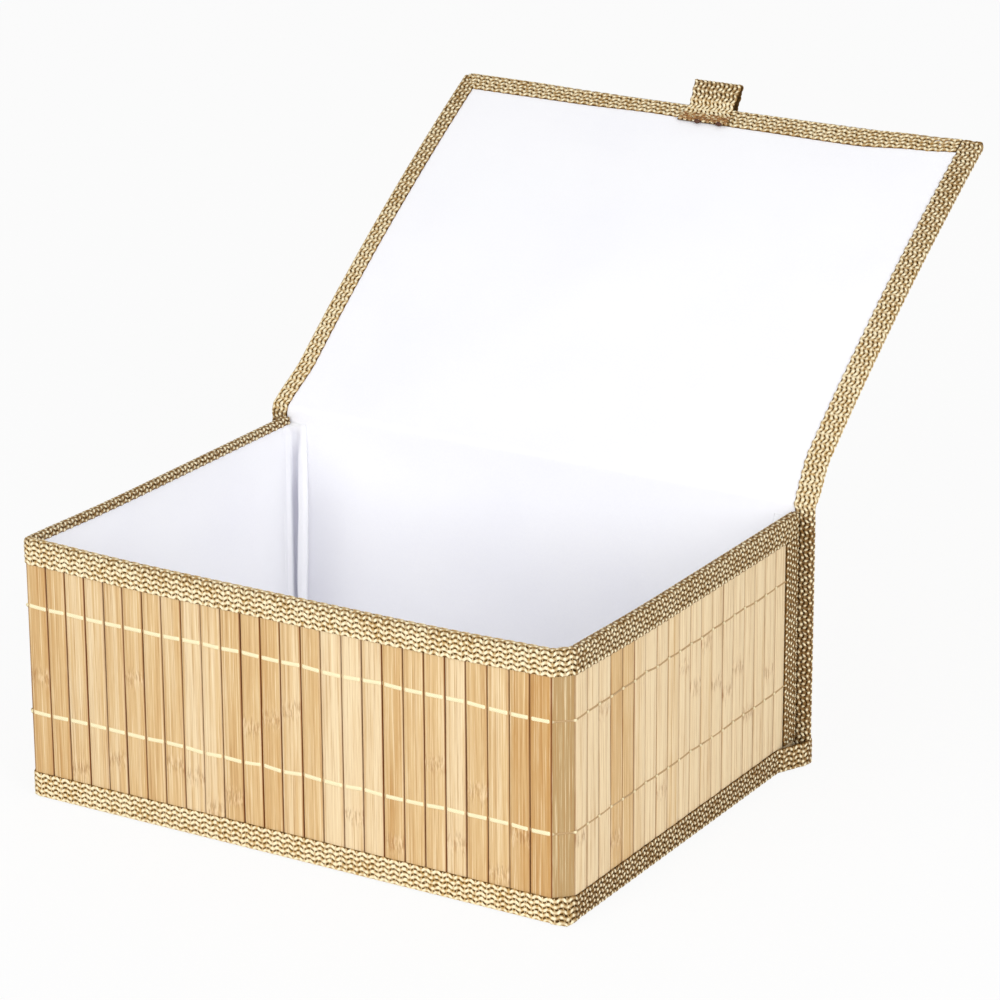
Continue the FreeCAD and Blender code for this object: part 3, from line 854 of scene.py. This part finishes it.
def makePullTab():
    inner, outer, leg = -tab["over"], panel + tab["over"], tab["leg"]
    corners = [(-leg, inner), (-0.4, inner), tab["inside"], tab["outside"], (0.4, outer), (-leg, outer)]
    fold = Path(corners, tab["ease"], foldStep)
    flat = lidFrontFold(fold, None, straight(0.0))
    waist, shade = eased(*tab["waist"]), eased(*tab["shade"])
    width, start, end = 2 * tab["halfWidth"], tab["lead"], fold.length - tab["lead"]

    def place(along, across, level):
        # the tape runs round the loop, so along follows the fold
        middle = (across - tab["halfWidth"]) * waist(np.minimum(along, fold.length - along))
        return flat(tab["offset"] + middle, along, level)

    shape = knitTape(place, width, straight(start), straight(end), alongOnly(shade))
    # dense stitches hold each end, with two knots on the inner one
    ring = np.arange(6) * math.pi / 3
    share = np.linspace(0, 1, 6)[:, None]
    level, arch, thick = tab["stitchRise"]
    rows = [start + step for step in tab["stitchRows"]] + [end - step for step in tab["stitchRows"][:2]]
    for row in rows:
        for left in np.arange(chance.uniform(0.4, 1.4), width - tab["stitch"], tab["stitch"]):
            slant = chance.normal(0, tab["stitchSlant"])
            grid = place(
                row + slant * (share - 0.5) + tab["stitchHalf"] * np.cos(ring),
                left + tab["stitch"] * share + 0 * ring,
                level + arch * np.sin(share * math.pi) + thick * np.sin(ring),
            )
            # cream flecks take the yarn's painted crest highlight
            if chance.random() < tab["flecks"]:
                shape.sweep(grid, 0, crest=0.9, shade=0.3)
            else:
                shape.sweep(grid, 2)
    turn = np.linspace(0.05, math.pi - 0.05, 9)[:, None]
    wide, deep, high = tab["knotSize"]
    for knot in tab["knots"]:
        lump = np.sin(turn) * (1 + 0.3 * np.sin(3 * turn + knot) * np.cos(ring * 2 + knot))
        grid = place(
            start - tab["knotDrop"] + deep * lump * np.cos(ring),
            tab["halfWidth"] + knot - wide * np.cos(turn) + 0 * ring,
            tab["knotLevel"] + high * lump * np.sin(ring),
        )
        shape.sweep(grid, 2, dark=1.0)
    settle(shape, "pullTab", [yarn, ground, stitch], ["pull_tab"], "lid")


makeRimTape()
makeBaseTape()
for word, side in (("left", -1), ("right", 1)):
    makeRearTape(word, side)
    makeSideTape(word, side)
makeLidFrontTape()
makePullTab()
print("tapes made")


# Slat mats

slats = {
    "face": 0.8,  # inset of the slat faces from the outside of the tape
    "gap": 0.4,
    "thickness": 1.25,
    "edge": 0.35,
    "crown": 0.1,
    "twist": 0.009,  # how much tilt, sway and bow differ from slat to slat
    "sway": 0.05,
    "bow": 0.06,
    "steps": 27,
    "nodeRise": 0.14,
    "nodeReach": 2.4,
    "cornerTone": 0.6,
    "cornerAged": 0.85,
    "panelTone": (0.34, 0.17),
    "foot": 0.8,
    "top": 129.4,
    "backEnd": 156.2,
    "lidEnd": 153.2,
    "lidProud": 0.05,
    "frontCount": 26,
    "sideCount": 20,
    "backCount": 12,
    "lidCount": 21,
}


def addSlat(shape, origin, across, along, out, width, length, tone, nodeAt=None, aged=0.0, edgeTone=0.8):
    # one split of cane: crowned face, eased edges, a slight twist and a swelling at its node
    half, edge = width / 2, slats["edge"]
    left = np.array([-half, -half + 0.3 * edge, -half + edge, -0.4 * half])
    fall = np.array([-1.2 * edge, -0.35 * edge, -0.04, slats["crown"]])
    places = np.r_[left, -left[::-1]]
    around = np.r_[places, places[::-1]]
    depth = np.r_[fall, fall[::-1], np.full(8, -slats["thickness"])]
    face = np.r_[np.ones(8), np.zeros(8)]
    far = np.linspace(0, length, slats["steps"])[:, None]
    tip, sway, bow = (chance.normal(0, slats[name]) for name in ("twist", "sway", "bow"))
    phase = chance.uniform(0, 6.28)
    nodeGap = far - nodeAt if nodeAt is not None else np.full_like(far, 60.0)
    swell = slats["nodeRise"] * np.exp(-((nodeGap / slats["nodeReach"]) ** 2))
    wave = np.sin(far / length * 6.283 + phase)
    shift = around + sway * wave
    rise = depth + (bow * wave + tip * around + swell) * face
    grid = np.array(origin) + shift[..., None] * np.array(across) + far[..., None] * np.array(along)
    grid = grid + rise[..., None] * np.array(out)
    shape.sweep(
        grid,
        across=around[None, :],
        along=far,
        seed=chance.uniform(),
        tone=tone,
        aged=aged,
        nodeGap=nodeGap,
        edgeTone=edgeTone * chance.uniform(0.4, 1.2),
        edge=np.abs(around)[None, :] / half,
    )


def randomNode(length):
    return chance.uniform(0.1, 0.9) * length if chance.uniform() < 0.55 else None


frontMat = {
    # heights of the nodes on the slats that show one, and the slats of darker cane
    "nodes": {0: 62, 2: 19, 4: 28, 5: 72, 7: 33, 8: 29, 9: 15, 10: 23, 11: 61, 12: 67, 13: 74, 16: 28, 18: 20,
              20: 64, 21: 27, 22: 55, 23: 17, 24: 39},
    "tone": 0.55,
    "edgeTone": 0.95,
    "tones": {15: 0.15, 17: 0.2, 18: 0.75, 22: 0.7, 23: 0.5, 24: 0.95, 25: 1.05},
}
rightMat = {
    "nodes": {0: 38, 2: 93, 3: 25, 7: 33, 9: 88, 10: 74, 11: 93, 12: 69, 13: 61, 14: 70, 15: 43, 17: 56},
    "tone": 0.02,
    "edgeTone": 0.5,
    "tones": {3: 0.75, 4: 0.7},
}
leftMat = {"nodes": {}, "tone": 0.25, "edgeTone": 0.7, "tones": {}}
frontStart = slats["face"] + box["leftLeg"] - halfWidth
rightLegAtFace = box["rightLeg"] - (2 - math.sqrt(2)) * slats["face"]
frontEnd = halfWidth - slats["face"] - rightLegAtFace
sideEnd = halfDepth - box["tape"]
frontEdges = np.linspace(frontStart, frontEnd, slats["frontCount"] + 1)
leftEdges = np.linspace(slats["face"] + box["leftLeg"] - halfDepth, sideEnd, slats["sideCount"] + 1)
rightEdges = np.linspace(slats["face"] + rightLegAtFace - halfDepth, sideEnd, slats["sideCount"] + 1)
for edges in (frontEdges, leftEdges, rightEdges):
    edges[1:-1] += chance.normal(0, 0.12, len(edges) - 2)


def wallMat(word, mat, edges, across, out, reach):
    shape = Shape()
    height = slats["top"] - slats["foot"]
    for index, (start, end) in enumerate(zip(edges, edges[1:])):
        tone = mat["tones"].get(index, np.clip(chance.normal(mat["tone"], 0.18), -0.3, 0.8))
        nodeAt = mat["nodes"].get(index) if mat["nodes"] else randomNode(height)
        origin = np.array(out) * reach + np.abs(across) * (start + end) / 2 + (0, 0, slats["foot"])
        width = end - start - slats["gap"]
        addSlat(shape, origin, across, (0, 0, 1), out, width, height, tone, nodeAt, edgeTone=mat["edgeTone"])
    settle(shape, word + "Mat", [bamboo], [word + "_slats"])


def makeWallMats():
    face, foot = slats["face"], slats["foot"]
    wallMat("front", frontMat, frontEdges, (1, 0, 0), (0, -1, 0), halfDepth - face)
    wallMat("right", rightMat, rightEdges, (0, 1, 0), (1, 0, 0), halfWidth - face)
    wallMat("left", leftMat, leftEdges, (0, -1, 0), (-1, 0, 0), halfWidth - face)
    shape = Shape()
    turned = math.sqrt(0.5)
    middle = ((frontEnd + halfWidth - face) / 2, (face - halfDepth + rightEdges[0]) / 2, foot)
    across, out = (turned, turned, 0), (turned, -turned, 0)
    width, height = rightLegAtFace * math.sqrt(2) - slats["gap"], slats["top"] - foot
    tone, aged = slats["cornerTone"], slats["cornerAged"]
    addSlat(shape, middle, across, (0, 0, 1), out, width, height, tone, None, aged)
    settle(shape, "rightCornerSlat", [bamboo], ["right_corner_slat"])


backEdges = np.linspace(box["tape"], box["backTop"], slats["backCount"] + 1)
lidEdges = np.linspace(lidArc - box["tape"], hingeAlong + box["tape"] - box["backTop"], slats["lidCount"] + 1)


def onBack(height):
    return (halfDepth + panel - slats["face"], height), (1, 0)


def onLid(along):
    return lidSpot(along, panel - slats["face"] + slats["lidProud"]), panelPath.at(hingeRun + along)[1]


def panelMat(word, edges, reach, body, placeAt):
    shape = Shape()
    for first, second in zip(edges, edges[1:]):
        spot, out = placeAt((first + second) / 2)
        tone = np.clip(chance.normal(*slats["panelTone"]), 0, 0.8)
        across, width = (0, -out[1], out[0]), abs(second - first) - slats["gap"]
        nodeAt = randomNode(2 * reach)
        addSlat(shape, (-reach, *spot), across, (1, 0, 0), (0, *out), width, 2 * reach, tone, nodeAt)
    settle(shape, word + "Mat", [bamboo], [word + "_slats"], body)


makeWallMats()
panelMat("back", backEdges, slats["backEnd"], "box", onBack)
panelMat("lid", lidEdges, slats["lidEnd"], "lid", onLid)
print("slat mats made")


# Threads that hold the mats together

threadRow = {
    "heights": {"upper": 97.9, "lower": 43.6},
    "level": 0.08,
    "rise": 0.3,
    "frontHalf": 1.05,
    "sideHalf": 0.5,
    "dip": 1.35,
    "knot": 0.12,
    "gapHalf": 0.75,
    "stray": 0.28,
    "sideTan": 0.85,
    "spacing": 0.45,
    "rearEnd": 10.0,  # where the threads go under the tapes
    "hingeEnd": 3.0,
    "lidEnd": 11.0,
    "rows": (-124.0, -62.0, 0.0, 62.0, 124.0),
}


def strand(shape, place, along, row, gaps, half, dip, tan):
    # a flat strand across the slats, a little slanted as it was pulled, that dips or knots at every gap
    ring = np.arange(8) * math.pi / 4
    middle = np.interp(along, np.sort(gaps), row + chance.normal(0, threadRow["stray"], len(gaps)))
    near = np.exp(-((np.abs(along - gaps).min(1, keepdims=True) / threadRow["gapHalf"]) ** 2))
    grow = 1 + 0.5 * near * (dip < 0)
    grid = place(
        along + 0 * ring,
        middle + half * grow * np.cos(ring),
        threadRow["level"] - dip * near + threadRow["rise"] * grow * np.sin(ring),
    )
    shape.sweep(grid, along=along, around=ring[None, :], tan=tan * (1 - near))


def makeWallThread(word):
    path = Path(wallCorners(slats["face"], halfDepth - threadRow["rearEnd"]), 0.5, 0.5)
    spots = [(slats["face"] - halfWidth, edge) for edge in leftEdges]
    spots += [(edge, slats["face"] - halfDepth) for edge in frontEdges]
    spots += [(halfWidth - slats["face"], edge) for edge in rightEdges]
    gaps = np.array([path.nearest(spot) for spot in spots])
    along = np.arange(0, path.length, threadRow["spacing"])[:, None]
    onFront = np.clip((-path.at(along)[1][..., 1] - 0.8) / 0.1, 0, 1)
    half = threadRow["sideHalf"] + (threadRow["frontHalf"] - threadRow["sideHalf"]) * onFront
    dip = np.where(onFront > 0.5, threadRow["dip"], -threadRow["knot"])
    tan = (1 - onFront) * threadRow["sideTan"]

    def place(far, across, level):
        far, across, level = np.broadcast_arrays(far, across, level)
        base, facing = path.at(far)
        return np.concatenate([base + facing * level[..., None], across[..., None]], -1)

    shape = Shape()
    strand(shape, place, along, threadRow["heights"][word], gaps, half, dip, tan)
    settle(shape, word + "WallThread", [thread], [word + "_wall_thread"])


def makePanelThreads(word, body, start, end, gaps, depth):
    def place(far, across, level):
        far, across, level = np.broadcast_arrays(far, across, level)
        base, out = panelPath.at(far)
        return onPanel(across, base + out * (depth + level)[..., None])

    shape = Shape()
    along = np.arange(start, end, threadRow["spacing"])[:, None]
    for row in threadRow["rows"]:
        strand(shape, place, along, row, gaps, threadRow["frontHalf"], threadRow["dip"], 0.0)
    settle(shape, word + "Threads", [thread], [word + "_threads"], body)


makeWallThread("upper")
makeWallThread("lower")
face = panel - slats["face"]
start, end = threadRow["rearEnd"], hingeAlong - threadRow["hingeEnd"]
makePanelThreads("back", "box", start, end, backEdges - box["tape"], face)
start, end = hingeRun + threadRow["hingeEnd"], panelPath.length - threadRow["lidEnd"]
makePanelThreads("lid", "lid", start, end, lidEdges + hingeRun, face + slats["lidProud"])
print("threads made")


# Linings

cloth = {
    "thickness": 0.4,
    "wallInset": 3.0,
    "wallWrinkle": 0.22,
    "panelWrinkle": 0.3,
    "baseInset": 3.75,
    "baseEnd": 0.3,
    "baseLevels": (2.75, 2.35),
    "baseWrinkle": 0.12,
    "coverLevels": (0.78, 0.3),
    "coverWrinkle": 0.12,
    "rows": 74,
}


def makeWallLining():
    path = Path(wallCorners(cloth["wallInset"], halfDepth - box["tape"]), 1.6, 2.5)
    foot, top = slats["foot"], slats["top"]
    along = path.along[:, None]
    height = np.linspace(foot, top, 46)[None, :]
    base, out = path.at(along + 0 * height)
    hold = np.clip((top - height) / 14, 0, 1) * np.clip((height - foot) / 8, 0, 1)
    wrinkle = cloth["wallWrinkle"] * ripple(along, height, 5, 60.0) * hold
    wrinkle = np.maximum(wrinkle + 0.05 * ripple(along, height, 6, 9.0), -0.05)

    def layer(depth):
        plan = base - out * (depth + wrinkle)[..., None]
        return np.concatenate([plan, np.broadcast_to(height, wrinkle.shape)[..., None]], -1)

    shape = Shape()
    shape.layer(layer(cloth["thickness"]), layer(0.0))
    piece = settle(shape, "wallLining", [lining], ["wall_lining"])


creases = [
    # across and along the back panel and lid at each end, height and half width
    (-97, 54, -59, 95, 0.35, 2.5),
    (-130, 20, -112, 74, 0.3, 3.0),
    (60, 30, 112, 82, 0.2, 4.0),
]
bulge = {
    # the back lining stands off its board near the left pleat: by place across, and by height
    "rise": 3.0,
    "across": ((-137, -112, 20), (0, 1, 0)),
    "along": ((0, 30, 70, 122), (0.7, 1, 0.85, 0)),
    # painted shade: the back lining greyer beside the pleat
    "shade": 0.4,  # greyer beside the pleat
    "paintedShadeAcross": ((-153, -138, -92), (1, 1, 0)),
}


def makePanelLining():
    edge = slats["lidEnd"]
    along = panelPath.along[:, None]
    across = np.linspace(-edge, edge, 108)[None, :]
    base, out = panelPath.at(along + 0 * across)
    hold = np.clip((edge - np.abs(across)) / 20, 0, 1)
    wrinkle = cloth["panelWrinkle"] * (0.5 + 0.5 * ripple(across, along, 11, 85.0)) * hold
    wrinkle = wrinkle + 0.04 * ripple(across, along, 12, 8.0)
    full = eased(*bulge["along"])(along)
    wrinkle = wrinkle + bulge["rise"] * eased(*bulge["across"])(across) * full
    # painted shade beside the left pleat
    shade = bulge["shade"] * eased(*bulge["paintedShadeAcross"])(across) * full
    for left, low, right, high, rise, half in creases:
        run = np.array([right - left, high - low], float)
        span = np.linalg.norm(run)
        run = run / span
        far = (across - left) * run[0] + (along - low) * run[1]
        off = -(across - left) * run[1] + (along - low) * run[0]
        fade = np.clip(1 - np.abs(far / span - 0.5) * 1.4, 0, 1)
        wrinkle = wrinkle + rise * fade * np.exp(-((off / half) ** 2))

    def layer(depth):
        return onPanel(np.broadcast_to(across, wrinkle.shape), base + out * (depth - wrinkle)[..., None])

    shape = Shape()
    shape.layer(layer(box["tape"]), layer(box["tape"] + cloth["thickness"]), crease=shade)
    nodes = ["back_lining", "lid_lining", "hinge_cloth"]
    piece = settle(shape, "panelLining", [lining], nodes, None)


def groundSheet(rows, leftAt, rightAt, levels, wrinkle, seed):
    # a level sheet whose left and right edges depend on the depth
    deep = rows[:, None]
    across = leftAt(deep) + np.linspace(0, 1, 90)[None, :] * (rightAt(deep) - leftAt(deep))
    deep = np.broadcast_to(deep, across.shape)
    wave = wrinkle * ripple(across, deep, seed, 55.0)
    shape = Shape()
    shape.layer(*(np.stack([across, deep, level + wave], -1) for level in levels))
    return shape


def makeBaseLining():
    inset = cloth["baseInset"]
    side, front, rear = halfWidth - inset, inset - halfDepth, halfDepth - cloth["baseEnd"]
    rightLeg = box["rightLeg"] - (2 - math.sqrt(2)) * inset
    shape = groundSheet(
        np.linspace(front, rear, cloth["rows"]),
        lambda deep: -side + np.clip(box["leftLeg"] - (deep - front), 0, None),
        lambda deep: side - np.clip(rightLeg - (deep - front), 0, None),
        cloth["baseLevels"], cloth["baseWrinkle"], 21,
    )
    piece = settle(shape, "baseLining", [lining], ["base_lining"])


def makeBaseCover():
    leg = baseTape["underLeg"] + 0.1
    rows = np.linspace(leg - halfDepth, halfDepth + panel + box["tape"] - leg, cloth["rows"])
    flareAt = halfDepth - baseTape["flareRun"]

    def edge(deep):
        return halfWidth - leg + np.clip(deep - flareAt, 0, None) * baseTape["flareSlope"]

    levels, wrinkle = cloth["coverLevels"], cloth["coverWrinkle"]
    shape = groundSheet(rows, lambda deep: -edge(deep), edge, levels, wrinkle, 31)
    piece = settle(shape, "baseCover", [cover], ["base_cover"])


pleat = {
    # by height: the roll's left and right edge from the corner, and how far it stands off the back panel
    "heights": (2.75, 32.0, 60.0, 85.0, 108.0, 121.0, 127.0),
    "left": (4.4, 5.2, 6.0, 6.5, 6.9, 7.3, 7.6),
    "right": (9.2, 10.0, 11.0, 11.6, 11.2, 10.4, 9.8),
    "depth": (4.6, 4.7, 4.6, 4.4, 3.2, 1.4, -0.6),
    "full": 4.4,  # depth at which the crease beside the roll is fully formed
    "thickness": 0.3,
    "ease": 1.1,
}


def makePleat(word, side):
    # spare lining gathered in the rear corner: a soft roll beside a deep crease, drawn in at the rim
    leftAt, rightAt, depthAt = (eased(pleat["heights"], pleat[name]) for name in ("left", "right", "depth"))
    outer, inner, paintedGrooveShade, lengths = [], [], [], []
    for height in np.linspace(pleat["heights"][0], pleat["heights"][-1], 48):
        left, right, deep = leftAt(height), rightAt(height), depthAt(height)
        left = left + 0.25 * math.sin(height * 0.11 + side)
        formed = np.clip(deep / pleat["full"], 0, 1)
        plan = [
            (-0.82, 5.5), (-0.7, 3.6), (2.0 * formed - 0.65, 1.8), (2.3 * formed - 0.6, 0.1),
            (left - 2.6, -0.5), (left - 0.7, 0.5 * deep), (left + 0.8, deep),
            (right - 1.4, 0.97 * deep), (right, 0.6 * deep),
            (right - 0.7 * formed - 0.05, 0.18 * deep - 0.3), (right - 1.2 * formed - 0.1, -0.65),
        ]
        curve = Path(plan, pleat["ease"], 0.2)
        lengths.append(curve.length)
        spots, normals = curve.at(np.linspace(0, curve.length, 60))
        # painted shade in the groove between the wall lining and the roll
        inside = np.clip(spots[:, 0] - 0.8, 0, 1) * np.clip(left + 0.6 - spots[:, 0], 0, 1)
        paintedGrooveShade.append(formed * inside * np.clip(1.1 - spots[:, 1] / pleat["full"], 0, 1))
        for layer, lift in ((outer, pleat["thickness"] / 2), (inner, -pleat["thickness"] / 2)):
            moved = spots + normals * lift
            across, back = side * (halfWidth - panel - moved[:, 0]), halfDepth - moved[:, 1]
            layer.append(np.stack([across, back, np.full(len(moved), height)], -1))
    shape = Shape()
    shape.layer(np.array(outer), np.array(inner), crease=np.array(paintedGrooveShade))
    piece = settle(shape, word + "Pleat", [lining], [word + "_lining_pleat"])


makeWallLining()
makePanelLining()
makeBaseLining()
makeBaseCover()
makePleat("left", -1)
makePleat("right", 1)
print("linings made")

for node in ("front_board", "left_board", "right_board", "back_board", "base_board", "lid_board"):
    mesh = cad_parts[node].data
    mesh.materials.clear()
    mesh.materials.append(board)


# Floor, light and camera

studio = {
    "worldStrength": 0.58,
    "floorSize": 12.0,
    "floorLevel": -0.0006,
    "aim": (0.0, 0.05, 0.08),
    "boxes": {  # place, size and power of each soft box
        "keyLight": ((-0.5, -2.4, 1.08), 1.5, 20.5),
        "fillLight": ((2.3, -1.4, 1.18), 1.6, 37.0),
    },
}


def seen(wire):
    # what the camera sees directly, or in gloss and glass
    path = wire.tree.nodes.new("ShaderNodeLightPath")
    kinds = ("Is Camera Ray", "Is Glossy Ray", "Is Transmission Ray")
    rays = [Wire(wire.tree, path.outputs[kind]) for kind in kinds]
    return wire.math("MINIMUM", rays[0] + rays[1] + rays[2], 1.0)


def makeFloor():
    half = studio["floorSize"] / 2
    mesh = bpy.data.meshes.new("floor")
    corners = [(-half, -half), (half, -half), (half, half), (-half, half)]
    mesh.from_pydata([(*corner, studio["floorLevel"]) for corner in corners], [], [(0, 1, 2, 3)])
    made = bpy.data.materials.new("floorPaper")
    made.use_nodes = True
    tree = made.node_tree
    wire = Wire(tree)
    shader = tree.nodes["Principled BSDF"]
    shader.inputs["Roughness"].default_value = 0.9
    paper = wire.noise(wire.objectPlace(), 300.0)
    tone = wire.blend(paint(246, 246, 246), paint(250, 250, 250), paper)
    tree.links.new(tone.socket, shader.inputs["Base Color"])
    white = wire.node("Emission", {}, {"Color": (1, 1, 1, 1), "Strength": 1.0})
    mixed = wire.node("MixShader", {}, {0: seen(wire) * 0.9, 1: Wire(tree, shader.outputs[0]), 2: white})
    tree.links.new(mixed.socket, tree.nodes["Material Output"].inputs["Surface"])
    mesh.materials.append(made)
    floor = bpy.data.objects.new("floor", mesh)
    scene.collection.objects.link(floor)


def makeWorld():
    world = bpy.data.worlds.new("studio")
    scene.world = world
    world.use_nodes = True
    tree = world.node_tree
    tree.nodes.clear()
    wire = Wire(tree)
    soft = wire.node("Background", {}, {"Color": (1, 1, 1, 1), "Strength": studio["worldStrength"]})
    white = wire.node("Background", {}, {"Color": (1, 1, 1, 1), "Strength": 1.0})
    mixed = wire.node("MixShader", {}, {0: seen(wire), 1: soft, 2: white})
    tree.links.new(mixed.socket, tree.nodes.new("ShaderNodeOutputWorld").inputs["Surface"])


def makeLights():
    for name, (place, size, power) in studio["boxes"].items():
        lamp = bpy.data.lights.new(name, "AREA")
        lamp.size, lamp.energy = size, power
        light = bpy.data.objects.new(name, lamp)
        light.location = place
        light.rotation_mode = "QUATERNION"
        light.rotation_quaternion = (Vector(studio["aim"]) - Vector(place)).to_track_quat("-Z", "Y")
        scene.collection.objects.link(light)


view = {
    "place": (1.00641, -1.58667, 0.79989),
    "yaw": 31.12,
    "pitch": 19.26,
    "roll": -0.31,
    "lens": 150.1,
    "sensor": 36.0,
}


def makeCamera():
    yaw, pitch, roll = (math.radians(view[name]) for name in ("yaw", "pitch", "roll"))
    ahead = Vector((-math.sin(yaw) * math.cos(pitch), math.cos(yaw) * math.cos(pitch), -math.sin(pitch)))
    level = ahead.cross(Vector((0, 0, 1))).normalized()
    up = level.cross(ahead)
    right = level * math.cos(roll) + up * math.sin(roll)
    up = up * math.cos(roll) - level * math.sin(roll)
    data = bpy.data.cameras.new("photoView")
    data.lens, data.sensor_width = view["lens"], view["sensor"]
    data.clip_end = 50.0
    camera = bpy.data.objects.new("photoView", data)
    turned = Matrix((right, up, -ahead)).transposed().to_4x4()
    camera.matrix_world = Matrix.Translation(view["place"]) @ turned
    scene.collection.objects.link(camera)
    scene.camera = camera


makeFloor()
makeWorld()
makeLights()
makeCamera()
scene.view_settings.view_transform = "Standard"
print("stage ready")

bpy.context.view_layer.update()
